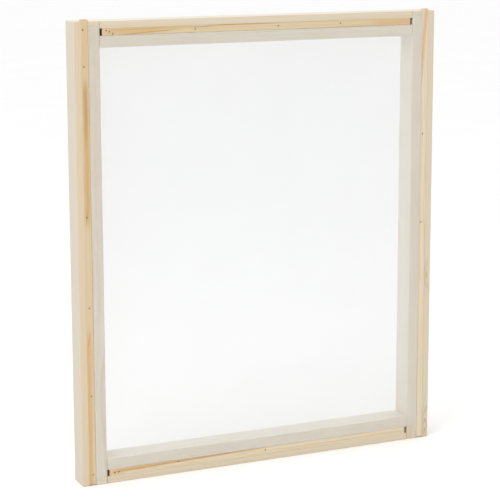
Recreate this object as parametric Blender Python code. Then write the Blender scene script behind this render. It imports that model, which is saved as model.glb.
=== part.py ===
"""Screen printing frame: four square wooden members, doweled at the corners, with a fabric mesh
stretched over the front and locked in a groove by nailed wooden strips.

Metres, +Z up. The frame stands on its bottom edge, centred on X, with its mesh side facing -Y.
"""

import math

import bmesh
import bpy
from mathutils import Matrix, Vector

# ---- driving dimensions -------------------------------------------------------------------
MM = 0.001

OPENING_WIDTH = 508.0 * MM
OPENING_HEIGHT = 609.6 * MM
STOCK = 38.1 * MM  # square section of the four members
ARRIS = 0.7 * MM  # eased long edges of the members
FIT_GAP = 0.3 * MM  # clearance between touching pieces

GROOVE_FROM_EDGE = 10.5 * MM
GROOVE_WIDTH = 10.5 * MM
GROOVE_DEPTH = 8.5 * MM

MESH_THICKNESS = 0.15 * MM
MESH_TUCK = 5.0 * MM  # how far the mesh edge is folded down into the groove
MESH_CORNER_TRIM = 5.0 * MM  # bare wood above the mesh in a top corner
MESH_FOOT_TRIM = (3.0 * MM, 30.0 * MM)  # the same in the bottom corners, left and right
MESH_SLIT = 1.0 * MM  # the tab is slit this far inside each joint, where the rail's fold ends

STRIP_THICKNESS = 7.4 * MM
STRIP_RECESS = 0.3 * MM  # strips sit just below the front faces
STRIP_ARRIS = 0.4 * MM
STILE_STRIP_FOOT = 1.0 * MM  # the long strips start this far above the floor
STILE_STRIP_RISE = 3.0 * MM  # and stick out this far above the stiles
RAIL_STRIP_SHORT = 3.8 * MM  # the short strips stop this far from each joint

BRAD_SHANK_RADIUS = 0.5 * MM
BRAD_HEAD_RADIUS = 0.95 * MM
BRAD_HEAD_HEIGHT = 0.6 * MM
BRAD_LENGTH = 15.0 * MM
BRAD_SINK = 0.25 * MM  # head below the surface of the strip
BRAD_POINT = 1.6 * MM
BRAD_SIDES = 14

DOWEL_RADIUS = 4.0 * MM
DOWEL_LENGTH = 50.0 * MM
DOWEL_CHAMFER = 1.0 * MM
DOWEL_SPACING = 19.0 * MM
DOWEL_END_ROOM = 1.0 * MM  # glue room at each end of a dowel
DOWEL_BEHIND_CENTRE = 4.0 * MM  # dowels sit towards the back, clear of the groove
DOWEL_SIDES = 24

# Brads along each strip: distance up from the floor on the stiles, and from the centre on the
# rails, with how far each one sits off the middle of its strip.
LEFT_BRADS = [(16.5, 0.45), (137, 0.15), (270, -0.25), (404, -1.55), (621.5, -1.55), (674, -2.45)]
RIGHT_BRADS = [(354, -1.75), (494, -1.75)]
TOP_BRADS = [(-243.8, 1.95), (-239, 0.15), (-234, -3.05), (-107, -0.25), (25.8, 0.25), (129.5, 0.75)]
BOTTOM_BRADS = [(-242, -0.45), (-235.5, -0.45), (-140.5, 2.45), (4.5, 0.65)]

# ---- sizes that follow --------------------------------------------------------------------
WIDTH = OPENING_WIDTH + 2 * STOCK
HEIGHT = OPENING_HEIGHT + 2 * STOCK
MESH_STAND_OFF = FIT_GAP + MESH_THICKNESS
FRONT = -(STOCK - MESH_STAND_OFF) / 2  # centres the whole frame, mesh included, on Y
BACK = FRONT + STOCK
HALF_OPENING = OPENING_WIDTH / 2
GROOVE_INNER = STOCK - GROOVE_FROM_EDGE - GROOVE_WIDTH  # groove's inner wall from the opening

COLOURS = {
    "pine": (0.78, 0.66, 0.47),
    "strip": (0.72, 0.55, 0.34),
    "mesh": (0.86, 0.86, 0.84),
    "brad": (0.20, 0.15, 0.11),
    "dowel": (0.74, 0.58, 0.38),
}


def clear_scene():
    for obj in list(bpy.data.objects):
        bpy.data.objects.remove(obj, do_unlink=True)


def material(name, colour, roughness, metallic=0.0):
    made = bpy.data.materials.new(name)
    made.use_nodes = True
    shader = made.node_tree.nodes["Principled BSDF"]
    shader.inputs["Base Color"].default_value = (*colour, 1.0)
    shader.inputs["Roughness"].default_value = roughness
    shader.inputs["Metallic"].default_value = metallic
    return made


def link(name, mesh, finish=None):
    obj = bpy.data.objects.new(name, mesh)
    bpy.context.scene.collection.objects.link(obj)
    if finish:
        mesh.materials.append(finish)
    return obj


def box(name, low, high, finish=None):
    """A box between two corners."""
    low, high = Vector(low), Vector(high)
    shape = bmesh.new()
    bmesh.ops.create_cube(shape, size=1.0)
    size = high - low
    bmesh.ops.transform(
        shape,
        matrix=Matrix.Translation((low + high) / 2) @ Matrix.Diagonal((*size, 1.0)),
        verts=shape.verts,
    )
    mesh = bpy.data.meshes.new(name)
    shape.to_mesh(mesh)
    shape.free()
    return link(name, mesh, finish)


def ease_edges(obj, width, segments):
    bevel = obj.modifiers.new("eased_edges", "BEVEL")
    bevel.width = width
    bevel.segments = segments
    bevel.limit_method = "ANGLE"
    obj.data.shade_smooth()
    obj.data.set_sharp_from_angle(angle=math.radians(35))


def turned(name, profile, sides):
    """A solid turned about Z from (radius, height) points, bottom to top, closed at both ends."""
    shape = bmesh.new()
    rings = []
    for radius, height in profile:
        if radius == 0:
            rings.append([shape.verts.new((0, 0, height))])
            continue
        angles = [2 * math.pi * k / sides for k in range(sides)]
        points = [(radius * math.cos(a), radius * math.sin(a), height) for a in angles]
        rings.append([shape.verts.new(point) for point in points])
    for lower, upper in zip(rings, rings[1:]):
        for k in range(sides):
            after = (k + 1) % sides
            if len(lower) == 1:
                shape.faces.new((lower[0], upper[after], upper[k]))
            elif len(upper) == 1:
                shape.faces.new((lower[k], lower[after], upper[0]))
            else:
                shape.faces.new((lower[k], lower[after], upper[after], upper[k]))
    if len(rings[0]) > 1:
        shape.faces.new(reversed(rings[0]))
    if len(rings[-1]) > 1:
        shape.faces.new(rings[-1])
    bmesh.ops.recalc_face_normals(shape, faces=shape.faces)
    mesh = bpy.data.meshes.new(name)
    shape.to_mesh(mesh)
    shape.free()
    mesh.shade_smooth()
    mesh.set_sharp_from_angle(angle=math.radians(35))
    return mesh


def cut(obj, cutter, label):
    """Removes a cutter's shape from an object; the cutter stays as a hidden helper."""
    cutter.hide_render = True
    cutter.display_type = "WIRE"
    boolean = obj.modifiers.new(label, "BOOLEAN")
    boolean.operation = "DIFFERENCE"
    boolean.solver = "EXACT"
    boolean.object = cutter


# ---- members ------------------------------------------------------------------------------


def member(name, low, high, finish):
    """One of the four pieces of square stock, with its groove milled down the front face."""
    piece = box(name, low, high, finish)
    ease_edges(piece, ARRIS, 2)
    over = 5 * MM
    floor = FRONT + GROOVE_DEPTH
    if high[2] - low[2] > high[0] - low[0]:
        outward = math.copysign(1, low[0] + high[0])
        outer = outward * (WIDTH / 2 - GROOVE_FROM_EDGE)
        inner = outer - outward * GROOVE_WIDTH
        groove_low = (min(outer, inner), FRONT - over, low[2] - over)
        groove_high = (max(outer, inner), floor, high[2] + over)
    else:
        on_top = low[2] > HEIGHT / 2
        bottom = high[2] - GROOVE_FROM_EDGE - GROOVE_WIDTH if on_top else low[2] + GROOVE_FROM_EDGE
        groove_low = (low[0] - over, FRONT - over, bottom)
        groove_high = (high[0] + over, floor, bottom + GROOVE_WIDTH)
    cut(piece, box("cutter_groove_" + name, groove_low, groove_high), "groove")
    return piece


def groove_span(side):
    """Where a member's groove runs across its face: X for the stiles, Z for the rails."""
    near = GROOVE_FROM_EDGE
    far = GROOVE_FROM_EDGE + GROOVE_WIDTH
    return {
        "left": (-WIDTH / 2 + near, -WIDTH / 2 + far),
        "right": (WIDTH / 2 - far, WIDTH / 2 - near),
        "bottom": (near, far),
        "top": (HEIGHT - far, HEIGHT - near),
    }[side]


def strip(side, finish):
    """The wooden strip in a member's groove. Its inner side leaves room for the tucked mesh."""
    across_low, across_high = groove_span(side)
    mesh_room = 2 * FIT_GAP + MESH_THICKNESS
    if side in ("left", "bottom"):
        across_low += FIT_GAP
        across_high -= mesh_room
    else:
        across_low += mesh_room
        across_high -= FIT_GAP
    front = FRONT + STRIP_RECESS
    back = front + STRIP_THICKNESS
    if side in ("left", "right"):
        low = (across_low, front, STILE_STRIP_FOOT)
        high = (across_high, back, HEIGHT + STILE_STRIP_RISE)
    else:
        end = HALF_OPENING - RAIL_STRIP_SHORT
        low = (-end, front, across_low)
        high = (end, back, across_high)
    piece = box(side + "_spline", low, high, finish)
    ease_edges(piece, STRIP_ARRIS, 2)
    return piece


# ---- brads --------------------------------------------------------------------------------


def brad_mesh():
    """A wire brad with its head up at the origin and its point down -Z."""
    neck = -BRAD_HEAD_HEIGHT
    profile = [
        (0, -BRAD_LENGTH),
        (BRAD_SHANK_RADIUS, -BRAD_LENGTH + BRAD_POINT),
        (BRAD_SHANK_RADIUS, neck - 0.25 * MM),
        (BRAD_HEAD_RADIUS, neck),
        (BRAD_HEAD_RADIUS, -0.1 * MM),
        (BRAD_HEAD_RADIUS - 0.1 * MM, 0),
    ]
    return turned("brad", profile, BRAD_SIDES)


def brad_hole_mesh():
    """The clearance a brad needs, from above the strip to past its point."""
    head = BRAD_HEAD_RADIUS + FIT_GAP
    shank = BRAD_SHANK_RADIUS + FIT_GAP
    shoulder = -BRAD_HEAD_HEIGHT - 0.25 * MM - FIT_GAP
    profile = [
        (shank, -BRAD_LENGTH - FIT_GAP),
        (shank, shoulder),
        (head, shoulder + 0.3 * MM),
        (head, 3 * MM),
    ]
    return turned("cutter_brad", profile, BRAD_SIDES)


def drive_brads(side, member_piece, strip_piece, places, nail, hole, finish):
    across = sum(groove_span(side)) / 2
    turn = Matrix.Rotation(math.radians(90), 4, "X")  # the head faces -Y
    surface = FRONT + STRIP_RECESS + BRAD_SINK
    for number, (along, off) in enumerate(places, start=1):
        if side in ("left", "right"):
            spot = (across + off * MM, surface, along * MM)
        else:
            spot = (along * MM, surface, across + off * MM)
        place = Matrix.Translation(spot) @ turn
        brad = link(f"{side}_brad_{number}", nail)
        brad.matrix_world = place
        cutter = link(f"cutter_{side}_brad_{number}", hole)
        cutter.matrix_world = place
        cut(strip_piece, cutter, f"brad_hole_{number}")
        cut(member_piece, cutter, f"brad_hole_{number}")
    if not nail.materials:
        nail.materials.append(finish)


# ---- corner dowels ------------------------------------------------------------------------


def dowel_mesh(length, radius, chamfer):
    half = length / 2
    profile = [
        (radius - chamfer, -half),
        (radius, -half + chamfer),
        (radius, half - chamfer),
        (radius - chamfer, half),
    ]
    return turned("dowel", profile, DOWEL_SIDES)


def dowel_corner(corner, stile, rail, peg, hole):
    """Two dowels across the joint between a stile and a rail."""
    vertical, horizontal = corner.split("_")
    joint = -HALF_OPENING if horizontal == "left" else HALF_OPENING
    middle = HEIGHT - STOCK / 2 if vertical == "top" else STOCK / 2
    depth = (FRONT + BACK) / 2 + DOWEL_BEHIND_CENTRE
    turn = Matrix.Rotation(math.radians(90), 4, "Y")
    for level, offset in (("upper", DOWEL_SPACING / 2), ("lower", -DOWEL_SPACING / 2)):
        place = Matrix.Translation((joint, depth, middle + offset)) @ turn
        dowel = link(f"{corner}_dowel_{level}", peg)
        dowel.matrix_world = place
        cutter = link(f"cutter_{corner}_dowel_{level}", hole)
        cutter.matrix_world = place
        cut(stile, cutter, f"dowel_{vertical}_{level}")
        cut(rail, cutter, f"dowel_{horizontal}_{level}")


# ---- mesh fabric --------------------------------------------------------------------------


def stretched_mesh(finish):
    """The fabric: flat over the opening, with tabs in the corners and edges down the grooves."""
    surface = FRONT - FIT_GAP - MESH_THICKNESS / 2
    tuck = FRONT + MESH_TUCK
    wall = FIT_GAP + MESH_THICKNESS / 2  # the folded edge runs this far off the groove's wall
    side = HALF_OPENING + GROOVE_INNER + wall
    rail_end = HALF_OPENING - MESH_SLIT
    foot = STOCK - GROOVE_INNER - wall
    head = HEIGHT - foot
    top = HEIGHT - MESH_CORNER_TRIM
    left_foot, right_foot = MESH_FOOT_TRIM
    shape = bmesh.new()

    def column(x, heights):
        return [shape.verts.new((x, surface, z)) for z in heights]

    left_out = column(-side, (left_foot, top))
    left_in = column(-rail_end, (left_foot, foot, head, top))
    right_in = column(rail_end, (foot, right_foot, head, top))
    right_out = column(side, (right_foot, top))
    shape.faces.new((left_out[0], *left_in, left_out[1]))
    shape.faces.new((left_in[1], *right_in[:3], left_in[2]))
    shape.faces.new((right_in[1], right_out[0], right_out[1], right_in[3], right_in[2]))

    for near, far in (
        left_out,
        right_out,
        (left_in[1], right_in[0]),
        (left_in[2], right_in[2]),
    ):
        down = [shape.verts.new((v.co.x, tuck, v.co.z)) for v in (far, near)]
        shape.faces.new((near, far, *down))

    bmesh.ops.recalc_face_normals(shape, faces=shape.faces)
    mesh = bpy.data.meshes.new("screen_mesh")
    shape.to_mesh(mesh)
    shape.free()
    fabric = link("screen_mesh", mesh, finish)
    thicken = fabric.modifiers.new("thickness", "SOLIDIFY")
    thicken.thickness = MESH_THICKNESS
    thicken.offset = 0
    thicken.use_even_offset = True


# ---- assembly -----------------------------------------------------------------------------


def build():
    clear_scene()
    pine = {
        name: material("pine_" + name, COLOURS["pine"], 0.62)
        for name in ("left_stile", "right_stile", "top_rail", "bottom_rail")
    }
    strip_wood = {
        side: material("strip_" + side, COLOURS["strip"], 0.55)
        for side in ("left", "right", "top", "bottom")
    }
    mesh_cloth = material("mesh_cloth", COLOURS["mesh"], 0.5)
    brad_steel = material("brad_steel", COLOURS["brad"], 0.45, 1.0)
    dowel_wood = material("dowel_wood", COLOURS["dowel"], 0.6)

    half = WIDTH / 2
    rail_half = HALF_OPENING - FIT_GAP
    members = {
        "left": member("left_stile", (-half, FRONT, 0), (-HALF_OPENING, BACK, HEIGHT), pine["left_stile"]),
        "right": member("right_stile", (HALF_OPENING, FRONT, 0), (half, BACK, HEIGHT), pine["right_stile"]),
        "top": member(
            "top_rail", (-rail_half, FRONT, HEIGHT - STOCK), (rail_half, BACK, HEIGHT), pine["top_rail"]
        ),
        "bottom": member(
            "bottom_rail", (-rail_half, FRONT, 0), (rail_half, BACK, STOCK), pine["bottom_rail"]
        ),
    }

    peg = dowel_mesh(DOWEL_LENGTH, DOWEL_RADIUS, DOWEL_CHAMFER)
    peg.materials.append(dowel_wood)
    peg_hole = dowel_mesh(DOWEL_LENGTH + 2 * DOWEL_END_ROOM, DOWEL_RADIUS + FIT_GAP, DOWEL_CHAMFER)
    for vertical in ("top", "bottom"):
        for side in ("left", "right"):
            dowel_corner(f"{vertical}_{side}", members[side], members[vertical], peg, peg_hole)

    nail = brad_mesh()
    nail_hole = brad_hole_mesh()
    places = {"left": LEFT_BRADS, "right": RIGHT_BRADS, "top": TOP_BRADS, "bottom": BOTTOM_BRADS}
    for side, brads in places.items():
        strip_piece = strip(side, strip_wood[side])
        drive_brads(side, members[side], strip_piece, brads, nail, nail_hole, brad_steel)

    stretched_mesh(mesh_cloth)


build()
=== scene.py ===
import math
import random

import bmesh
import bpy
from mathutils import Matrix, Vector, noise


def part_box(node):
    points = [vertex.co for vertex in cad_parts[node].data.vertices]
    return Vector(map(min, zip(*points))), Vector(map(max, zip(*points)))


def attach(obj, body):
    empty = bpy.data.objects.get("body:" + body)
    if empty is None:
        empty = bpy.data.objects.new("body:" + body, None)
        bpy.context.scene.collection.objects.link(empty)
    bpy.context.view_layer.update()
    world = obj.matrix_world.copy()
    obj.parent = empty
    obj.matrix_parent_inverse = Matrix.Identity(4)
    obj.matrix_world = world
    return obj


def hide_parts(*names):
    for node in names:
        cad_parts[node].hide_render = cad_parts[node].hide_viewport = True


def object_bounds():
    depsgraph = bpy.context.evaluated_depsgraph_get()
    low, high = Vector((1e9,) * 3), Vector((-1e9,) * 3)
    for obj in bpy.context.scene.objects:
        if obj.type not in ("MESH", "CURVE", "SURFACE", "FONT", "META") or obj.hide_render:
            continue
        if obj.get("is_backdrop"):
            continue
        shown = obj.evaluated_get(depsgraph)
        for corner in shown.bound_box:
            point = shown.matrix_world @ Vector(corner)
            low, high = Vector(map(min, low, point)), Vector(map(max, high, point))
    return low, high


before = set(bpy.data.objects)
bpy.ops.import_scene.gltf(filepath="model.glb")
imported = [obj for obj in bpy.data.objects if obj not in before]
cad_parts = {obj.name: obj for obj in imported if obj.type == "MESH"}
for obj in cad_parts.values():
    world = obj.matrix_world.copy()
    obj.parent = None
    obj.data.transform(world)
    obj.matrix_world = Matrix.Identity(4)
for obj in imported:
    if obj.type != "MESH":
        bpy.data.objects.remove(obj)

MM = 0.001

# ---- camera, fitted to the photo's edges
CAMERA_PLACE = (-1.03356, -2.29158, 0.85271)
CAMERA_YAW = 24.016
CAMERA_PITCH = 10.065
CAMERA_ROLL = 0.130
LENS = 121.26
LENS_SHIFT = -0.10
SENSOR_WIDTH = 36.0
CLIP_END = 100.0

# ---- colours, linear
PINE_WARM = (0.655, 0.528, 0.372)
PINE_PALE = (0.645, 0.556, 0.418)
PINE_LATE = (0.590, 0.460, 0.275)
PINE_FLANK = (0.600, 0.545, 0.448)
# painted highlight: the lighter colour of faces that look up
PINE_TOP_HIGHLIGHT = (0.760, 0.705, 0.605)
STRIP_EARLY = (0.640, 0.510, 0.322)
STRIP_LATE = (0.570, 0.405, 0.220)
CLOTH_WHITE = (0.735, 0.748, 0.748)
ORANGE = (0.585, 0.345, 0.135)
# painted light: the paler colour mixed into the wood under the cloth
COVERED_LIGHT = (0.815, 0.750, 0.630)
# painted shade: the dark brown mixed into the wood deep in grooves and slots
CAVITY_SHADE_BROWN = (0.170, 0.066, 0.014)
KNOT_BROWN = (0.430, 0.270, 0.120)
OCHRE = (0.540, 0.325, 0.105)
RESIN = (0.400, 0.230, 0.080)
STRIP_PALE = (0.705, 0.598, 0.430)
BRAD_DARK = (0.110, 0.075, 0.050)
BRAD_RUST = (0.260, 0.140, 0.065)
DOWEL_EARLY = (0.720, 0.590, 0.420)
DOWEL_LATE = (0.560, 0.420, 0.270)
FLOOR_PALE = (0.985, 0.985, 0.985)

# ---- grain, in millimetres
SLOW_ALONG = 0.006  # noise scales per millimetre: slow drift, and fine fibres
SLOW_ACROSS = 0.03
FIBRE_ALONG = 0.05
FIBRE_ACROSS = 3.2
RING_WANDER = 14.0
LATEWOOD_FROM = 0.35  # shares of one ring
LATEWOOD_FULL = 0.92
LATEWOOD_EDGE = 0.95
GRAIN_RELIEF = 0.00012  # in metres
STREAK_FADE = 34.0
STAIN_FULL = -14.0  # depths between which a knot's stain dies out behind the front face
STAIN_GONE = -4.0

# ---- where painted light and painted shade go on the wood, in millimetres
COVERED_SOFT = 0.3
COVERED_END_SOFT = 1.5
COVER_CLEAR = 0.1  # from a groove's wall
COVER_PAST = 5.0  # past a member's inner edge
COVER_FOOT = 1.0  # from the cloth's lower and upper ends
COVER_HEAD = 0.5
PAST_RAIL = 300.0  # further from the middle than any rail's end
BACK_ARRIS = 17.4  # depths of the back arris and the back face, which stays plain
BACK_FACE = 18.6
FRONT_ARRIS = -18.3  # depths between which a slot's shade begins behind the front face
FRONT_SHADE = -17.6
SHADE_FROM = 1.4
SHADE_PAST = 0.1
RAIL_SHADE_REACH = 200.0
STRIP_SHADE_WIDER = 1.0
STRIP_SHADE_SOONER = 0.6
SLOT_REACH = 0.4  # to either side of a stile's face

# ---- the mesh
CLOTH_COVER = 0.40
CLOTH_CONTRAST = 0.16
THREAD_PITCH = 0.23
THREAD_GLOW = 0.45
WEAVE_RELIEF = 0.00004  # in metres
CORNER_ACROSS = (246.0, 258.0)  # from the middle, in millimetres: where its corners mottle
CORNER_UP = (310.0, 326.0)
MIDDLE_HEIGHT = 343.0

# ---- timber, in millimetres
STATION = 4.0
ARRIS = 1.1
MOUTH_ARRIS = 0.15
FLOOR_ARRIS = 0.2
END_CHAMFER = 0.5
SURFACE_WOBBLE = 0.05
GROOVE_FROM_EDGE = 10.5
GROOVE_WIDTH = 10.5
GROOVE_DEPTH = 8.5
STRIP_ARRIS = 0.25
STRIP_BACK_ARRIS = 0.3
STRIP_END_ROUND = 0.9
STRIP_WOBBLE = 0.05
STRIP_SWELL = 0.22
STRIP_PINCH = 0.55
SLACK_PINCH = 0.3
SLACK_FROM = 30.0  # heights between which the right strip holds the cloth less tightly
SLACK_TO = 215.0
CORNER_STEPS = 4

# ---- holes, in millimetres, with depths from the brad's head
HOLE_ROOM = 0.12
HOLE_STEP = 0.1
HEAD_DEPTH = 0.85
SHANK_RADIUS = 0.6
DIMPLE_RADIUS = 1.5
DIMPLE_FLARE = 0.4
DIMPLE_LIP = -0.28
HOLE_START = -1.0
STRIP_HOLE_END = 20.0
TIMBER_HOLE = (5.0, 16.0)
DOWEL_HOLE_PAST = 1.0
HOLE_SIDES = 20

# ---- the cloth's shape, in millimetres
CLOTH_LIFT = 0.16
FOLD_RADIUS = 0.25
FOLD_DEPTH = 4.6
FOLD_CLEAR = 0.1
FOLD_CELL = 1.2
FOLD_STEPS = 5
FOLD_SHORT = 0.15  # a rail's fold ends this far from the stiles
CLOTH_CELL = 5.0
BAND_CELL = 0.7
RAGGED = 0.55
RAGGED_FOOT = 3.0
BARE_FOOT = 18.0
TAIL_WIDTH = 4.9
TAIL_SOFT = 0.7
PUCKER = 0.22
PUCKER_REACH = 22.0

# ---- cut thread ends, in millimetres
THREAD_RADIUS = 0.05
FRAY_SEED = 11
FRAY_COUNT = 14
FRAY_SHORTEST = 0.8
FRAY_LONGEST = 2.4
FRAY_LONGEST_FOOT = 4.0
FRAY_LEAN = 0.6
FRAY_ROOT = 0.8
FRAY_MARGIN = 1.0
FRAY_LIFT = 0.1
FRAY_CURL = 0.3
FRAY_POINTS = 5

# ---- light
WORLD_STRENGTH = 1.0
KEY_POWER = 22.0
KEY_SIZE = 1.6
KEY_PLACE = (-1.6, -0.9, 2.4)
KEY_AIM = (0.0, 0.0, 0.35)
FLOOR_SIZE = 60.0


def write_size(key, sizes):
    low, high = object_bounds()
    sizes[key] = [[float(c) for c in low], [float(c) for c in high]]


class Graph:
    """Short names for building a material's nodes."""

    def __init__(self, name):
        self.material = bpy.data.materials.new(name)
        self.material.use_nodes = True
        self.tree = self.material.node_tree
        self.tree.nodes.clear()
        self.out = self.node("ShaderNodeOutputMaterial")
        self.shader = self.node("ShaderNodeBsdfPrincipled")
        self.tree.links.new(self.shader.outputs[0], self.out.inputs[0])

    def node(self, kind, **settings):
        made = self.tree.nodes.new(kind)
        for name, value in settings.items():
            setattr(made, name, value)
        return made

    def put(self, socket, value):
        if isinstance(value, bpy.types.NodeSocket):
            self.tree.links.new(value, socket)
        elif isinstance(value, tuple) and len(value) == 3 and socket.type == "RGBA":
            socket.default_value = (*value, 1.0)
        else:
            socket.default_value = value

    def math(self, operation, a, b=None, c=None, clamp=False):
        made = self.node("ShaderNodeMath", operation=operation, use_clamp=clamp)
        for place, value in enumerate((a, b, c)):
            if value is not None:
                self.put(made.inputs[place], value)
        return made.outputs[0]

    def mix(self, amount, a, b, blend="MIX"):
        made = self.node("ShaderNodeMix", data_type="RGBA", blend_type=blend)
        self.put(made.inputs[0], amount)
        self.put(made.inputs[6], a)
        self.put(made.inputs[7], b)
        return made.outputs[2]

    def step(self, value, low, high, to_low=0.0, to_high=1.0):
        made = self.node("ShaderNodeMapRange", interpolation_type="SMOOTHSTEP")
        for place, item in enumerate((value, low, high, to_low, to_high)):
            self.put(made.inputs[place], item)
        return made.outputs[0]

    def millimetres(self):
        place = self.node("ShaderNodeTexCoord").outputs["Object"]
        made = self.node("ShaderNodeVectorMath", operation="SCALE")
        self.put(made.inputs[0], place)
        made.inputs["Scale"].default_value = 1.0 / MM
        return made.outputs[0]

    def split(self, vector):
        made = self.node("ShaderNodeSeparateXYZ")
        self.put(made.inputs[0], vector)
        return made.outputs

    def join(self, x, y, z):
        made = self.node("ShaderNodeCombineXYZ")
        for place, value in enumerate((x, y, z)):
            self.put(made.inputs[place], value)
        return made.outputs[0]

    def noise(self, vector, scale, detail=3.0, rough=0.5):
        made = self.node("ShaderNodeTexNoise", noise_dimensions="3D")
        self.put(made.inputs["Vector"], vector)
        made.inputs["Scale"].default_value = scale
        made.inputs["Detail"].default_value = detail
        made.inputs["Roughness"].default_value = rough
        return made.outputs["Fac"]

    def bump(self, height, strength, distance):
        made = self.node("ShaderNodeBump")
        made.inputs["Strength"].default_value = strength
        made.inputs["Distance"].default_value = distance
        self.put(made.inputs["Height"], height)
        self.put(self.shader.inputs["Normal"], made.outputs[0])


def along_and_across(graph, lengthwise):
    """(along, across, depth) in millimetres for grain that runs up ("Z") or sideways ("X")."""
    x, y, z = graph.split(graph.millimetres())
    return (z, x, y) if lengthwise == "Z" else (x, z, y)


def streak_mask(graph, along, across, meander, streak):
    """How much of a streak shows: along its centre line, within half its width."""
    start, end, centre_start, centre_end, half, strength, _ = streak
    slope = (centre_end - centre_start) / (end - start)
    line = graph.math("MULTIPLY_ADD", along, slope, centre_start - slope * start)
    line = graph.math("MULTIPLY_ADD", meander, min(1.0, half / 3.0), line)
    off = graph.math("ABSOLUTE", graph.math("SUBTRACT", across, line))
    inside = graph.step(off, half * 0.3, half * 1.4, strength, 0.0)
    fade = min(STREAK_FADE, 0.35 * (end - start))
    lead = graph.step(along, start, start + fade)
    tail = graph.step(along, end - fade, end, 1.0, 0.0)
    return graph.math("MULTIPLY", inside, graph.math("MULTIPLY", lead, tail))


def gauss(graph, value, centre, width):
    """1 at centre, falling off smoothly over width."""
    off = graph.math("DIVIDE", graph.math("SUBTRACT", value, centre), width)
    return graph.math("EXPONENT", graph.math("MULTIPLY", graph.math("MULTIPLY", off, off), -1.0))


def between(graph, value, low, high, soft):
    rise = graph.step(value, low - soft, low + soft)
    fall = graph.step(value, high - soft, high + soft, 1.0, 0.0)
    return graph.math("MULTIPLY", rise, fall)


def swirl(graph, along, across, warps):
    """Millimetres by which knots and arched grain push the rings aside."""
    total = None
    for at_along, at_across, reach_along, reach_across, height in warps:
        push = graph.math("MULTIPLY", gauss(graph, along, at_along, reach_along),
                          gauss(graph, across, at_across, reach_across))
        push = graph.math("MULTIPLY", push, height)
        total = push if total is None else graph.math("ADD", total, push)
    return total


def growth_rings(graph, place, pith, spacing, wander, warps):
    """1 in the dark latewood of each ring round the pith, 0 in the early wood."""
    along, across, depth = place
    u = graph.math("ADD", graph.math("SUBTRACT", across, pith[0]), wander)
    if warps:
        u = graph.math("ADD", u, swirl(graph, along, across, warps))
    v = graph.math("SUBTRACT", depth, pith[1])
    radius = graph.math("SQRT", graph.math("ADD", graph.math("MULTIPLY", u, u),
                                           graph.math("MULTIPLY", v, v)))
    ring = graph.math("FRACT", graph.math("DIVIDE", radius, spacing))
    band = graph.step(ring, LATEWOOD_FROM, LATEWOOD_FULL)
    edge = graph.step(ring, LATEWOOD_EDGE, 1.0, 1.0, 0.0)
    return graph.math("MULTIPLY", band, edge)


def paint_light_under_cloth(graph, base, place, covered):
    """Painted light: the wood under the cloth is mixed towards a paler colour. Each patch is
    (near, far) across, (low, high) along, and the amounts at its ends.
    """
    along, across, depth = place
    for near, far, low, high, amount_low, amount_high in covered:
        under = graph.math("MULTIPLY", between(graph, across, near, far, COVERED_SOFT),
                           between(graph, along, low, high, COVERED_END_SOFT))
        under = graph.math("MULTIPLY", under,
                           graph.step(depth, BACK_ARRIS, BACK_FACE, 1.0, 0.0))
        paler = graph.step(along, low, high, amount_low, amount_high)
        base = graph.mix(graph.math("MULTIPLY", under, paler), base, COVERED_LIGHT)
    return base


def add_streaks(graph, colour, place, slow, fibres, streaks):
    along, across, _ = place
    meander = graph.math("MULTIPLY_ADD", graph.noise(slow, 6.0, 2.0), 2.0, -1.0)
    for streak in streaks:
        mask = streak_mask(graph, along, across, meander, streak)
        mask = graph.math("MULTIPLY", mask, graph.step(fibres, 0.25, 0.6, 0.6, 1.0))
        colour = graph.mix(mask, colour, streak[-1])
    return colour


def add_stains(graph, colour, place, latewood, stains):
    """Brown round a knot, strongest in the latewood and only near the front face."""
    along, across, depth = place
    for at_along, at_across, reach_along, reach_across, strength in stains:
        spot = graph.math("MULTIPLY", gauss(graph, along, at_along, reach_along),
                          gauss(graph, across, at_across, reach_across))
        spot = graph.math("MULTIPLY", spot, graph.step(latewood, 0.0, 1.0, 0.15, 1.0))
        spot = graph.math("MULTIPLY", spot,
                          graph.step(depth, STAIN_FULL, STAIN_GONE, 1.0, 0.0))
        colour = graph.mix(graph.math("MULTIPLY", spot, strength), colour, KNOT_BROWN)
    return colour


def paint_slot_shade(graph, colour, place, slot_shades):
    """Painted shade on a stile's face where it shuts the slot at a rail strip's end."""
    along, across, depth = place
    for low, high, near, far, strength in slot_shades:
        shade_area = graph.math("MULTIPLY", between(graph, along, low, high, 0.3),
                             between(graph, across, near, far, 0.1))
        shade_area = graph.math("MULTIPLY", shade_area, graph.step(depth, FRONT_ARRIS, FRONT_SHADE))
        colour = graph.mix(graph.math("MULTIPLY", shade_area, strength), colour, CAVITY_SHADE_BROWN)
    return colour


# Painted shade: the wood deep inside a groove is mixed towards dark brown.
def paint_groove_shade(graph, colour, place, groove):
    along, across, depth = place
    near, far, front, at_start, at_end = groove
    inside = between(graph, across, near, far, 0.25)
    deep = between(graph, depth, front + SHADE_FROM, front + GROOVE_DEPTH + SHADE_PAST, 0.5)
    strength = graph.step(along, -RAIL_SHADE_REACH, RAIL_SHADE_REACH, at_start, at_end)
    dark = graph.math("MULTIPLY", graph.math("MULTIPLY", inside, deep), strength)
    return graph.mix(dark, colour, CAVITY_SHADE_BROWN)


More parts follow.
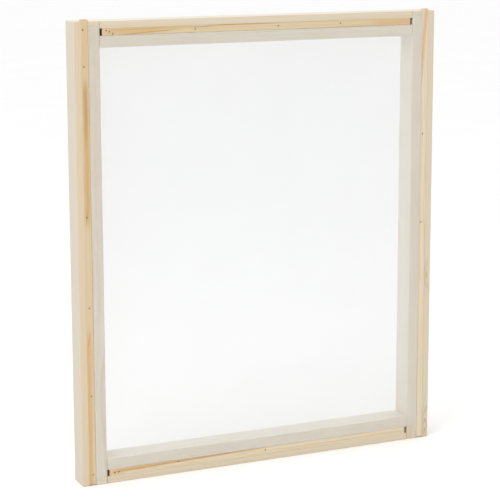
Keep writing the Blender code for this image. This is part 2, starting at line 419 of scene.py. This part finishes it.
def wood(name, lengthwise, seed, early, late, pith, spacing, streaks=(),
         flank=None, warps=(), groove=None, stains=(), covered=(), slot_shades=()):
    graph = Graph(name)
    place = along_and_across(graph, lengthwise)
    along, across, depth = place
    slow = graph.join(graph.math("MULTIPLY_ADD", along, SLOW_ALONG, seed),
                      graph.math("MULTIPLY", across, SLOW_ACROSS),
                      graph.math("MULTIPLY", depth, SLOW_ACROSS))
    wander = graph.math("MULTIPLY_ADD", graph.noise(slow, 1.0, 2.0), RING_WANDER, -RING_WANDER / 2)
    latewood = growth_rings(graph, place, pith, spacing, wander, warps)
    fibres = graph.noise(graph.join(graph.math("MULTIPLY_ADD", along, FIBRE_ALONG, seed),
                                    graph.math("MULTIPLY", across, FIBRE_ACROSS),
                                    graph.math("MULTIPLY", depth, FIBRE_ACROSS)), 1.0, 4.0, 0.6)
    tone = graph.noise(slow, 2.3, 3.0)
    amount = graph.math("MULTIPLY", latewood, graph.step(tone, 0.25, 0.75, 0.15, 0.55))
    normal = graph.split(graph.node("ShaderNodeNewGeometry").outputs["Normal"])
    sideways = graph.step(graph.math("ABSOLUTE", normal[1]), 0.3, 0.8, 1.0, 0.0)
    end_on = graph.math("ABSOLUTE", normal[2] if lengthwise == "Z" else normal[0])
    end_grain = graph.step(end_on, 0.7, 0.9)
    quiet = graph.math("MULTIPLY", sideways, graph.math("SUBTRACT", 1.0, end_grain))
    amount = graph.math("MULTIPLY", amount, graph.math("MULTIPLY_ADD", quiet, -0.5, 1.0))
    amount = graph.math("MULTIPLY", amount, graph.math("MULTIPLY_ADD", end_grain, 0.6, 1.0))
    base = early
    if flank:
        base = graph.mix(sideways, early, flank)
        # painted highlight: faces that look up are mixed towards a lighter colour
        base = graph.mix(graph.step(normal[2], 0.5, 0.9), base, PINE_TOP_HIGHLIGHT)
    # painted light on the wood under the cloth
    base = paint_light_under_cloth(graph, base, place, covered)
    colour = graph.mix(amount, base, late)
    light_fibres = graph.math("MULTIPLY_ADD", fibres, 0.16, 0.90)
    colour = graph.mix(1.0, colour, graph.join(light_fibres, light_fibres, light_fibres),
                       "MULTIPLY")
    colour = add_streaks(graph, colour, place, slow, fibres, streaks)
    colour = add_stains(graph, colour, place, latewood, stains)
    # painted shade in the slots and the grooves
    colour = paint_slot_shade(graph, colour, place, slot_shades)
    if groove:
        colour = paint_groove_shade(graph, colour, place, groove)
    graph.put(graph.shader.inputs["Base Color"], colour)
    graph.put(graph.shader.inputs["Roughness"], graph.step(fibres, 0.2, 0.8, 0.48, 0.66))
    height = graph.math("MULTIPLY_ADD", latewood, 0.5, graph.math("MULTIPLY", fibres, 0.6))
    graph.bump(height, 0.35, GRAIN_RELIEF)
    return graph.material


def weave(name):
    """Polyester mesh: fine threads both ways, the gaps between them left open."""
    graph = Graph(name)
    x, _, z = graph.split(graph.millimetres())
    threads = []
    for place in (x, z):
        phase = graph.math("MULTIPLY", place, 2.0 * math.pi / THREAD_PITCH)
        threads.append(graph.math("MULTIPLY", graph.math("COSINE", phase), CLOTH_CONTRAST))
    uneven = graph.noise(graph.join(graph.math("MULTIPLY", x, 0.012), 0.0,
                                    graph.math("MULTIPLY", z, 0.012)), 1.0, 2.0)
    cover = graph.math("ADD", graph.math("ADD", threads[0], threads[1]), CLOTH_COVER)
    cover = graph.math("ADD", cover, graph.math("MULTIPLY_ADD", uneven, 0.05, -0.025))
    sideways = graph.math("ABSOLUTE", x)
    upward = graph.math("ABSOLUTE", graph.math("SUBTRACT", z, MIDDLE_HEIGHT))
    corner = graph.math("MULTIPLY", graph.step(sideways, *CORNER_ACROSS),
                        graph.step(upward, *CORNER_UP))
    speckle = graph.noise(graph.join(graph.math("MULTIPLY", x, 0.30), 0.0,
                                     graph.math("MULTIPLY", z, 1.10)), 1.0, 2.0)
    speckle = graph.math("MULTIPLY", graph.step(speckle, 0.25, 0.75, -0.13, 0.15), corner)
    cover = graph.math("ADD", cover, speckle, clamp=True)
    tint = graph.step(uneven, 0.2, 0.8, 0.94, 1.0)
    colour = graph.mix(1.0, CLOTH_WHITE, graph.join(tint, tint, tint), "MULTIPLY")
    graph.put(graph.shader.inputs["Base Color"], colour)
    graph.put(graph.shader.inputs["Roughness"], graph.step(cover, 0.1, 0.6, 0.60, 0.45))
    graph.bump(cover, 0.3, WEAVE_RELIEF)
    through = graph.node("ShaderNodeBsdfTranslucent")
    graph.put(through.inputs["Color"], colour)
    thread = graph.node("ShaderNodeMixShader")
    thread.inputs[0].default_value = THREAD_GLOW
    graph.put(thread.inputs[1], graph.shader.outputs[0])
    graph.put(thread.inputs[2], through.outputs[0])
    open_weave = graph.node("ShaderNodeMixShader")
    graph.put(open_weave.inputs[0], cover)
    graph.put(open_weave.inputs[1], graph.node("ShaderNodeBsdfTransparent").outputs[0])
    graph.put(open_weave.inputs[2], thread.outputs[0])
    graph.put(graph.out.inputs[0], open_weave.outputs[0])
    return graph.material


def brad_steel():
    graph = Graph("brad_steel")
    place = graph.millimetres()
    blotch = graph.noise(place, 1.7, 4.0, 0.6)
    rust = graph.step(blotch, 0.42, 0.62)
    graph.put(graph.shader.inputs["Base Color"], graph.mix(rust, BRAD_DARK, BRAD_RUST))
    graph.put(graph.shader.inputs["Metallic"], graph.step(rust, 0.0, 1.0, 0.85, 0.2))
    graph.put(graph.shader.inputs["Roughness"], graph.step(blotch, 0.3, 0.7, 0.38, 0.75))
    graph.bump(blotch, 0.4, 0.00005)
    return graph.material


def material_on(obj, material):
    obj.data.materials.clear()
    obj.data.materials.append(material)


def paint(node, material):
    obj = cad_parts[node]
    if not obj.material_slots:
        obj.data.materials.append(material)
    for slot in obj.material_slots:
        slot.material = material


def box_mm(node):
    low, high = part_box(node)
    return [c / MM for c in low], [c / MM for c in high]


def object_from(name, shape):
    mesh = bpy.data.meshes.new(name)
    shape.to_mesh(mesh)
    shape.free()
    made = bpy.data.objects.new(name, mesh)
    bpy.context.scene.collection.objects.link(made)
    return made


def rounded(corners):
    """The outline through (across, depth, radius) corners, each one rounded off."""
    points = []
    for index, (across, depth, radius) in enumerate(corners):
        here = Vector((across, depth))
        before = Vector(corners[index - 1][:2]) - here
        after = Vector(corners[(index + 1) % len(corners)][:2]) - here
        first = here + before.normalized() * radius
        last = here + after.normalized() * radius
        for number in range(CORNER_STEPS + 1):
            t = number / CORNER_STEPS
            points.append((1 - t) ** 2 * first + 2 * t * (1 - t) * here + t * t * last)
    return points


def member_corners(span, depths, groove, inset, seed, along):
    """Corners of a member's section: the outside, and the groove in its front face."""
    low, high = span[0] + inset, span[1] - inset
    front, back = depths[0] + inset, depths[1] - inset
    near, far = groove[0] - inset, groove[1] + inset
    floor_depth = depths[0] + GROOVE_DEPTH
    wear = [ARRIS * (1.0 + 0.5 * noise.noise((along * 0.02, n * 9.1, seed))) for n in range(4)]
    return [
        (low, front, wear[0]), (near, front, MOUTH_ARRIS), (near, floor_depth, FLOOR_ARRIS),
        (far, floor_depth, FLOOR_ARRIS), (far, front, MOUTH_ARRIS), (high, front, wear[1]),
        (high, back, wear[2]), (low, back, wear[3]),
    ]


def pinch(side, along):
    """How far a strip reaches in to hold the cloth. The right one reaches less low down."""
    if side == "right" and SLACK_FROM < along < SLACK_TO:
        return SLACK_PINCH
    return STRIP_PINCH


def strip_corners(side, span, depths, inset, seed, along):
    inner, outer = pinch(side, along), STRIP_SWELL
    if side in ("right", "top"):
        inner, outer = outer, inner
    low, high = span[0] + inset - outer, span[1] - inset + inner
    front, back = depths[0] + inset, depths[1] - inset
    radius = STRIP_ARRIS * (1.0 + 0.4 * noise.noise((along * 0.03, 4.0, seed)))
    return [(low, front, radius), (high, front, radius),
            (high, back, STRIP_BACK_ARRIS), (low, back, STRIP_BACK_ARRIS)]


def wobbled(corners, along, seed, size):
    moved = []
    for number, (across, depth, radius) in enumerate(corners):
        a = noise.noise((along * 0.015, number * 5.7, seed))
        d = noise.noise((along * 0.015, number * 5.7, seed + 40.0))
        moved.append((across + size * a, depth + size * d, radius))
    return moved


def loft(name, section, start, end, lengthwise, end_round):
    """A solid whose section is followed from start to end, with its ends eased."""
    count = max(2, int((end - start - 2 * end_round) / STATION))
    inner = (end - start - 2 * end_round) / count
    stations = [(start, end_round)]
    stations += [(start + end_round + inner * n, 0.0) for n in range(count + 1)]
    stations += [(end, end_round)]
    shape = bmesh.new()
    rings = []
    for along, inset in stations:
        ring = []
        for across, depth in rounded(section(along, inset)):
            spot = (across, depth, along) if lengthwise == "Z" else (along, depth, across)
            ring.append(shape.verts.new([c * MM for c in spot]))
        rings.append(ring)
    for near, far in zip(rings, rings[1:]):
        for n in range(len(near)):
            m = (n + 1) % len(near)
            shape.faces.new((near[n], near[m], far[m], far[n]))
    shape.faces.new(rings[0])
    shape.faces.new(rings[-1])
    bmesh.ops.recalc_face_normals(shape, faces=shape.faces)
    return object_from(name, shape)


def lathe_cutter(profile, place):
    """A closed turned solid: (radius, height) along +Z, put in place."""
    shape = bmesh.new()
    rings = []
    for radius, height in profile:
        ring = []
        for n in range(HOLE_SIDES):
            angle = 2.0 * math.pi * n / HOLE_SIDES
            spot = (radius * math.cos(angle) * MM, radius * math.sin(angle) * MM, height * MM)
            ring.append(shape.verts.new(spot))
        rings.append(ring)
    for near, far in zip(rings, rings[1:]):
        for n in range(HOLE_SIDES):
            m = (n + 1) % HOLE_SIDES
            shape.faces.new((near[n], near[m], far[m], far[n]))
    shape.faces.new(rings[0])
    shape.faces.new(rings[-1])
    bmesh.ops.recalc_face_normals(shape, faces=shape.faces)
    bmesh.ops.transform(shape, matrix=place, verts=shape.verts)
    return object_from("hole", shape)


def brad_cutter(node, in_strip):
    """A brad's hole: dimpled round its head in a strip, only the shank's in a member."""
    low, high = box_mm(node)
    middle = [(a + b) / 2 for a, b in zip(low, high)]
    head = (high[0] - low[0]) / 2 + HOLE_ROOM
    face = low[1]
    if in_strip:
        profile = [(DIMPLE_RADIUS + DIMPLE_FLARE, HOLE_START), (DIMPLE_RADIUS, DIMPLE_LIP),
                   (head, HOLE_STEP), (head, HEAD_DEPTH), (SHANK_RADIUS, HEAD_DEPTH + HOLE_STEP),
                   (SHANK_RADIUS, STRIP_HOLE_END)]
    else:
        profile = [(SHANK_RADIUS, depth) for depth in TIMBER_HOLE]
    turn = Matrix.Rotation(math.radians(-90.0), 4, "X")
    place = Matrix.Translation([c * MM for c in (middle[0], face, middle[2])]) @ turn
    return lathe_cutter(profile, place)


def dowel_cutter(node):
    low, high = box_mm(node)
    middle = [(a + b) / 2 * MM for a, b in zip(low, high)]
    radius = (high[1] - low[1]) / 2 + HOLE_ROOM
    half = (high[0] - low[0]) / 2 + DOWEL_HOLE_PAST
    turn = Matrix.Rotation(math.radians(90.0), 4, "Y")
    return lathe_cutter([(radius, -half), (radius, half)], Matrix.Translation(middle) @ turn)


def carve(obj, cutters):
    for cutter in cutters:
        hole = obj.modifiers.new("hole", "BOOLEAN")
        hole.operation = "DIFFERENCE"
        hole.solver = "EXACT"
        hole.object = cutter
    graph = bpy.context.evaluated_depsgraph_get()
    mesh = bpy.data.meshes.new_from_object(obj.evaluated_get(graph))
    obj.modifiers.clear()
    obj.data = mesh
    for cutter in cutters:
        bpy.data.objects.remove(cutter)


def smooth_faces(obj, degrees):
    for face in obj.data.polygons:
        face.use_smooth = True
    obj.data.set_sharp_from_angle(angle=math.radians(degrees))


def nodes_of_side(side, kind):
    return sorted(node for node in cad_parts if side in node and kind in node)


def brads_of(side):
    return sorted(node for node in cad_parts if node.startswith(side + "_brad_"))


def groove_of(side, span):
    """(near, far) across: the groove lies GROOVE_FROM_EDGE in from the frame's outside."""
    if side in ("left", "bottom"):
        near = span[0] + GROOVE_FROM_EDGE
        return near, near + GROOVE_WIDTH
    far = span[1] - GROOVE_FROM_EDGE
    return far - GROOVE_WIDTH, far


def finish_piece(obj, node, material, degrees=30.0):
    smooth_faces(obj, degrees)
    material_on(obj, material)
    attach(obj, "root")
    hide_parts(node)


def spans(node, lengthwise):
    low, high = box_mm(node)
    along, across = (2, 0) if lengthwise == "Z" else (0, 2)
    return (low[across], high[across]), (low[1], high[1]), (low[along], high[along])


def build_member(side, node, lengthwise, seed, material):
    span, depths, length = spans(node, lengthwise)
    groove = groove_of(side, span)

    def section(along, inset):
        corners = member_corners(span, depths, groove, inset, seed, along)
        return wobbled(corners, along, seed, SURFACE_WOBBLE)

    piece = loft(side + "_timber", section, *length, lengthwise, END_CHAMFER)
    cutters = [brad_cutter(brad, False) for brad in brads_of(side)]
    cutters += [dowel_cutter(dowel) for dowel in nodes_of_side(side, "_dowel_")]
    carve(piece, cutters)
    finish_piece(piece, node, material)


def build_strip(side, node, lengthwise, seed, material):
    span, depths, length = spans(node, lengthwise)

    def section(along, inset):
        corners = strip_corners(side, span, depths, inset, seed, along)
        return wobbled(corners, along, seed, STRIP_WOBBLE)

    piece = loft(side + "_strip", section, *length, lengthwise, STRIP_END_ROUND)
    carve(piece, [brad_cutter(brad, True) for brad in brads_of(side)])
    finish_piece(piece, node, material)


# Streaks: (from, to) along, centre line's ends across, half width, strength, colour.
LEFT_STREAKS = [
    (-25, 252, -279.6, -278.2, 4.2, 0.75, ORANGE), (210, 236, -280.6, -275.0, 0.8, 0.6, RESIN),
    (378, 616, -276.6, -276.0, 4.4, 0.85, OCHRE), (500, 612, -277.4, -276.8, 2.8, 0.55, RESIN),
    (388, 420, -280.4, -274.6, 0.8, 0.6, RESIN), (598, 705, -277.0, -276.0, 4.4, 0.45, ORANGE),
]
RIGHT_STREAKS = [(560, 724, 268.9, 280.4, 2.9, 0.74, ORANGE)]
TOP_STREAKS = [
    (-262, -146, 670.6, 670.0, 5.2, 0.60, ORANGE), (-252, -96, 672.2, 673.6, 1.3, 0.80, OCHRE),
    (-122, -70, 672.4, 673.6, 0.8, 0.85, RESIN), (-96, 36, 674.2, 675.0, 0.9, 0.85, RESIN),
    (-236, -120, 664.6, 671.2, 0.8, 0.80, RESIN), (170, 272, 670.0, 670.0, 5.2, 0.60, ORANGE),
    (96, 300, 665.3, 665.3, 0.7, 0.85, ORANGE),
]
BOTTOM_STREAKS = [
    (-262, 14, 17.4, 21.6, 3.0, 0.90, ORANGE), (-256, -20, 15.6, 20.9, 0.9, 0.70, RESIN),
    (-262, -216, 14.6, 15.4, 5.2, 0.45, ORANGE), (60, 262, 13.8, 14.6, 0.5, 0.40, RESIN),
]

# Warps: (along, across, reach along, reach across, push). Stains the same, with a strength.
RIGHT_WARPS = [
    (-8.0, 285.5, 45.0, 5.0, 17.0), (266.0, 285.0, 20.0, 3.2, 8.0),
    (10.0, 262.0, 18.0, 6.0, 7.0), (470.0, 262.0, 60.0, 8.0, 6.0),
]
RIGHT_STAINS = [
    (18.0, 285.5, 36.0, 6.0, 0.78), (266.0, 284.5, 22.0, 4.0, 0.80),
    (12.0, 262.0, 20.0, 8.0, 0.50),
]
LEFT_WARPS = [(520.0, -286.0, 90.0, 6.0, 7.0), (120.0, -262.0, 70.0, 7.0, 6.0)]
TOP_WARPS = [(60.0, 679.0, 160.0, 9.0, 2.5)]
BOTTOM_WARPS = [(-60.0, 6.0, 130.0, 8.0, 4.0), (180.0, 30.0, 90.0, 9.0, 3.0)]
BOTTOM_STAINS = [(-253.4, 29.0, 0.6, 8.0, 0.9)]

# How much painted light makes the wood under the cloth paler, at the two ends of each side.
COVERED_LIGHT_AMOUNTS = {
    "left": (0.80, 0.45), "right": (0.80, 0.75), "top": (0.60, 0.75), "bottom": (0.80, 0.85),
}
# How dark the painted shade in each side's groove is, at its left or lower end and at its right or
# upper end.
GROOVE_SHADE = {"left": (1.0, 1.0), "right": (1.0, 1.0), "top": (1.0, 0.25), "bottom": (0.7, 0.0)}

TIMBERS = {
    "left": ("left_stile", "Z", 1.3, PINE_WARM, (-240.0, 26.0), 3.4, LEFT_WARPS, ()),
    "right": ("right_stile", "Z", 7.9, PINE_PALE, (322.0, 14.0), 2.9, RIGHT_WARPS, RIGHT_STAINS),
    "top": ("top_rail", "X", 13.1, PINE_PALE, (700.0, 30.0), 3.6, TOP_WARPS, ()),
    "bottom": ("bottom_rail", "X", 21.7, PINE_PALE, (-16.0, 22.0), 3.1, BOTTOM_WARPS,
               BOTTOM_STAINS),
}
STRIPS = {
    "left": ("left_spline", "Z", 31.0, STRIP_EARLY, (-262.0, 12.0), 2.1, LEFT_STREAKS),
    "right": ("right_spline", "Z", 37.0, STRIP_PALE, (262.0, 16.0), 2.3, RIGHT_STREAKS),
    "top": ("top_spline", "X", 43.0, STRIP_EARLY, (655.0, 18.0), 2.2, TOP_STREAKS),
    "bottom": ("bottom_spline", "X", 53.0, STRIP_PALE, (5.0, 14.0), 2.0, BOTTOM_STREAKS),
}


def covered_patches(side, span):
    """Where the cloth lies on a member, which is where painted light goes: (near, far) across,
    (low, high) along, amounts.
    """
    amounts = COVERED_LIGHT_AMOUNTS[side]
    near, far = groove_of(side, span)
    inner_near, inner_far = span[0] - COVER_PAST, span[1] + COVER_PAST
    low, high = (box_mm("screen_mesh")[n][2] for n in (0, 1))
    top = high - COVER_HEAD
    if side == "left":
        return [(far + COVER_CLEAR, inner_far, low - COVER_FOOT, top, *amounts)]
    if side == "right":
        tail = near - TAIL_WIDTH
        return [(inner_near, tail, low + BARE_FOOT + COVER_FOOT, top, *amounts),
                (tail, near - COVER_CLEAR, low + COVER_FOOT, top, *amounts)]
    if side == "top":
        return [(inner_near, near - COVER_CLEAR, -PAST_RAIL, PAST_RAIL, *amounts)]
    return [(far + COVER_CLEAR, inner_far, -PAST_RAIL, PAST_RAIL, *amounts)]


def slot_ends(side):
    """A stile's face closes both rails' grooves: (from, to) along and across, and shade."""
    if side not in ("left", "right"):
        return []
    end = 0 if side == "left" else 1
    joint = spans(side + "_stile", "Z")[0][1 - end]
    ends = []
    for rail in ("bottom", "top"):
        groove = groove_of(rail, spans(rail + "_rail", "X")[0])
        ends.append((*groove, joint - SLOT_REACH, joint + SLOT_REACH, GROOVE_SHADE[rail][end]))
    return ends


def build_timber():
    for side, timber in TIMBERS.items():
        node, lengthwise, seed, early, pith, spacing, warps, stains = timber
        span, depths, _ = spans(node, lengthwise)
        groove = (*groove_of(side, span), depths[0], *GROOVE_SHADE[side])
        material = wood(node + "_wood", lengthwise, seed, early, PINE_LATE, pith, spacing,
                        flank=PINE_FLANK, warps=warps, groove=groove, stains=stains,
                        covered=covered_patches(side, span), slot_shades=slot_ends(side))
        build_member(side, node, lengthwise, seed, material)
    for side, (node, lengthwise, seed, early, pith, spacing, streaks) in STRIPS.items():
        span, depths, _ = spans(node, lengthwise)
        # painted shade on a rail strip where it sits deep in its groove
        shade_area = None
        if lengthwise == "X":
            shade_area = (span[0] - STRIP_SHADE_WIDER, span[1] + STRIP_SHADE_WIDER,
                       depths[0] - STRIP_SHADE_SOONER, *GROOVE_SHADE[side])
        material = wood(node + "_wood", lengthwise, seed, early, STRIP_LATE, pith,
                        spacing, streaks, groove=shade_area)
        build_strip(side, node, lengthwise, seed, material)


def paint_fixings():
    steel = brad_steel()
    dowel = wood("dowel_wood", "X", 61.0, DOWEL_EARLY, DOWEL_LATE, (0.0, 30.0), 1.6)
    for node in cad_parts:
        if "_brad_" in node:
            paint(node, steel)
        elif "_dowel_" in node:
            paint(node, dowel)


def even(start, end, cell):
    count = max(1, round(abs(end - start) / cell))
    return [start + (end - start) * n / count for n in range(count + 1)]


def fold_line(edge, inward, far_side, cell):
    """(across, depth) points from inside a groove, over its mouth and on to far_side."""
    points = []
    for down in even(FOLD_DEPTH, 0.0, FOLD_CELL):
        points.append((edge - inward * FOLD_CLEAR, FOLD_RADIUS + down))
    for n in range(1, FOLD_STEPS):
        angle = math.pi / 2 * (1 - n / FOLD_STEPS)
        points.append((edge + inward * FOLD_RADIUS * (1 - math.sin(angle)),
                       FOLD_RADIUS * (1 - math.cos(angle))))
    points += [(across, 0.0) for across in even(edge + inward * FOLD_RADIUS, far_side, cell)]
    return points


def patch(shape, columns, rows, place):
    """A grid of faces over columns and rows. place gives each corner's position in mm."""
    grid = [[shape.verts.new([c * MM for c in place(column, row)]) for row in rows]
            for column in columns]
    for left, right in zip(grid, grid[1:]):
        for n in range(len(rows) - 1):
            shape.faces.new((left[n], right[n], right[n + 1], left[n + 1]))


def band(shape, groove_edge, inward, joint, foot, head, bare_foot, front):
    """The cloth over one stile's inner zone, folded into the groove, with free ends.
    Past its tail beside the groove it stops bare_foot higher."""
    columns = fold_line(groove_edge, inward, joint, BAND_CELL)
    rows = even(foot, head, CLOTH_CELL)
    ragged_foot = RAGGED_FOOT if bare_foot else RAGGED

    def raised(across):
        past = ((across - groove_edge) * inward - TAIL_WIDTH) / TAIL_SOFT
        return bare_foot * min(1.0, max(0.0, 0.5 + past))

    def place(column, row):
        across, depth = column
        share = (head - row) / (head - foot)
        z = row + share * raised(across)
        seed = across * 0.9
        if row == rows[-1]:
            z += RAGGED * noise.noise((seed, 3.0, 1.0))
        if row == rows[0]:
            z += ragged_foot * abs(noise.noise((seed * 0.6, 8.0, 2.0)))
        at_end = max(0.0, 1.0 - min(row - foot, head - row) / PUCKER_REACH)
        lift = PUCKER * at_end * (0.5 + noise.noise((across * 0.25, 0.0, row * 0.2)))
        return across, front + depth - max(0.0, lift) * (depth == 0.0), z

    patch(shape, columns, rows, place)


def centre(shape, left, right, foot_edge, head_edge, front):
    """The cloth across the opening and the rails, folded into both rail grooves."""
    middle = (foot_edge + head_edge) / 2
    lower = fold_line(foot_edge, 1.0, middle, CLOTH_CELL)
    upper = fold_line(head_edge, -1.0, middle, CLOTH_CELL)
    rows = lower + upper[::-1][1:]

    def place(column, row):
        across = column
        if row[1] > 0.0:
            across = min(max(column, left + FOLD_SHORT), right - FOLD_SHORT)
        return across, front + row[1], row[0]

    patch(shape, even(left, right, CLOTH_CELL), rows, place)


def fray(ends, front):
    """Cut thread ends that stand out of the cloth's ragged edges. way is 1 up, -1 down."""
    rng = random.Random(FRAY_SEED)
    curve = bpy.data.curves.new("mesh_fray", "CURVE")
    curve.dimensions = "3D"
    curve.bevel_depth = THREAD_RADIUS * MM
    curve.bevel_resolution = 1
    for across_low, across_high, z, way, longest in ends:
        for _ in range(FRAY_COUNT):
            across = rng.uniform(across_low, across_high)
            reach = rng.uniform(FRAY_SHORTEST, longest)
            lean = rng.uniform(-FRAY_LEAN, FRAY_LEAN)
            spline = curve.splines.new("POLY")
            spline.points.add(FRAY_POINTS - 1)
            for n, point in enumerate(spline.points):
                t = n / (FRAY_POINTS - 1)
                spot = (across + lean * t * t * reach,
                        front - FRAY_LIFT - FRAY_CURL * math.sin(2.4 * t),
                        z - way * FRAY_ROOT + way * reach * t)
                point.co = (*[c * MM for c in spot], 1.0)
    made = bpy.data.objects.new("mesh_fray", curve)
    bpy.context.scene.collection.objects.link(made)
    return made


def thread():
    graph = Graph("fray_thread")
    along = graph.noise(graph.millimetres(), 2.0, 3.0)
    tint = graph.step(along, 0.2, 0.8, 0.86, 0.97)
    colour = graph.mix(1.0, CLOTH_WHITE, graph.join(tint, tint, tint), "MULTIPLY")
    graph.put(graph.shader.inputs["Base Color"], colour)
    graph.put(graph.shader.inputs["Roughness"], graph.step(along, 0.2, 0.8, 0.4, 0.6))
    graph.bump(along, 0.3, 0.00003)
    return graph.material


def loose_threads(left, right, foot, head, front):
    """left and right are (near, far) across: the bands of cloth on the two stiles."""
    loose = fray([
        (left[0] + FRAY_MARGIN, left[1] - FRAY_MARGIN, head, 1.0, FRAY_LONGEST),
        (right[0] + FRAY_MARGIN, right[1] - FRAY_MARGIN, head, 1.0, FRAY_LONGEST),
        (right[0] + FRAY_MARGIN, right[1] - TAIL_WIDTH - FRAY_MARGIN, foot + BARE_FOOT, -1.0,
         FRAY_LONGEST_FOOT),
    ], front)
    material_on(loose, thread())
    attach(loose, "root")


def cut_size(left, right, foot, head, foot_edge, head_edge):
    """The cloth laid flat: (across, up) in metres, and its cut area in square millimetres."""
    turned_in = FOLD_DEPTH + FOLD_RADIUS
    opening = right[0] - left[1]
    across = right[1] - left[0] + 2 * turned_in
    band_width = (across - opening) / 2
    bare = (right[1] - TAIL_WIDTH - right[0]) * BARE_FOOT
    cut = opening * (head_edge - foot_edge + 2 * turned_in)
    cut += 2 * band_width * (head - foot) - bare
    return (across * MM, (head - foot) * MM), cut


def build_cloth():
    low, high = box_mm("screen_mesh")
    foot, head = low[2], high[2]
    front = box_mm("left_stile")[0][1] - CLOTH_LIFT
    left_span, _, _ = spans("left_stile", "Z")
    right_span, _, _ = spans("right_stile", "Z")
    left = (groove_of("left", left_span)[1], left_span[1])
    right = (right_span[0], groove_of("right", right_span)[0])
    foot_edge = groove_of("bottom", spans("bottom_rail", "X")[0])[1]
    head_edge = groove_of("top", spans("top_rail", "X")[0])[0]
    shape = bmesh.new()
    band(shape, left[0], 1.0, left[1], foot, head, 0.0, front)
    band(shape, right[1], -1.0, right[0], foot, head, BARE_FOOT, front)
    centre(shape, left[1], right[0], foot_edge, head_edge, front)
    bmesh.ops.recalc_face_normals(shape, faces=shape.faces)
    cloth = object_from("mesh_cloth", shape)
    finish_piece(cloth, "screen_mesh", weave("mesh_cloth"))
    loose_threads(left, right, foot, head, front)
    flat, cut = cut_size(left, right, foot, head, foot_edge, head_edge)


def floor():
    graph = Graph("floor_pale")
    grain = graph.noise(graph.millimetres(), 0.004, 3.0)
    tint = graph.step(grain, 0.2, 0.8, 0.985, 1.0)
    colour = graph.mix(1.0, FLOOR_PALE, graph.join(tint, tint, tint), "MULTIPLY")
    graph.put(graph.shader.inputs["Base Color"], colour)
    graph.put(graph.shader.inputs["Roughness"], graph.step(grain, 0.2, 0.8, 0.85, 0.95))
    low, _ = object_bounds()
    bpy.ops.mesh.primitive_plane_add(size=FLOOR_SIZE, location=(0.0, 0.0, float(low[2])))
    plane = bpy.context.object
    plane.name = "floor"
    plane.data.materials.append(graph.material)
    plane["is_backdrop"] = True


def light():
    world = bpy.data.worlds.new("soft_room")
    world.use_nodes = True
    world.node_tree.nodes["Background"].inputs["Color"].default_value = (1.0, 1.0, 1.0, 1.0)
    world.node_tree.nodes["Background"].inputs["Strength"].default_value = WORLD_STRENGTH
    bpy.context.scene.world = world
    key = bpy.data.lights.new("key", "AREA")
    key.energy = KEY_POWER
    key.size = KEY_SIZE
    lamp = bpy.data.objects.new("key", key)
    lamp.location = KEY_PLACE
    aim = Vector(KEY_AIM) - lamp.location
    lamp.rotation_euler = aim.to_track_quat("-Z", "Y").to_euler()
    bpy.context.scene.collection.objects.link(lamp)


def camera():
    yaw, pitch, roll = (math.radians(a) for a in (CAMERA_YAW, CAMERA_PITCH, CAMERA_ROLL))
    forward = Vector((math.sin(yaw) * math.cos(pitch), math.cos(yaw) * math.cos(pitch),
                      -math.sin(pitch)))
    right = Vector((math.cos(yaw), -math.sin(yaw), 0.0))
    down = forward.cross(right)
    rolled_right = math.cos(roll) * right + math.sin(roll) * down
    rolled_down = -math.sin(roll) * right + math.cos(roll) * down
    turn = Matrix((rolled_right, -rolled_down, -forward)).transposed().to_4x4()
    data = bpy.data.cameras.new("photo_camera")
    data.lens = LENS
    data.sensor_width = SENSOR_WIDTH
    data.shift_y = LENS_SHIFT
    data.clip_end = CLIP_END
    obj = bpy.data.objects.new("photo_camera", data)
    obj.matrix_world = Matrix.Translation(CAMERA_PLACE) @ turn
    bpy.context.scene.collection.objects.link(obj)
    bpy.context.scene.camera = obj


SIZES = {}
write_size("cad", SIZES)
build_timber()
paint_fixings()
build_cloth()
floor()
light()
camera()
bpy.context.scene.view_settings.view_transform = "Standard"
write_size("visual", SIZES)
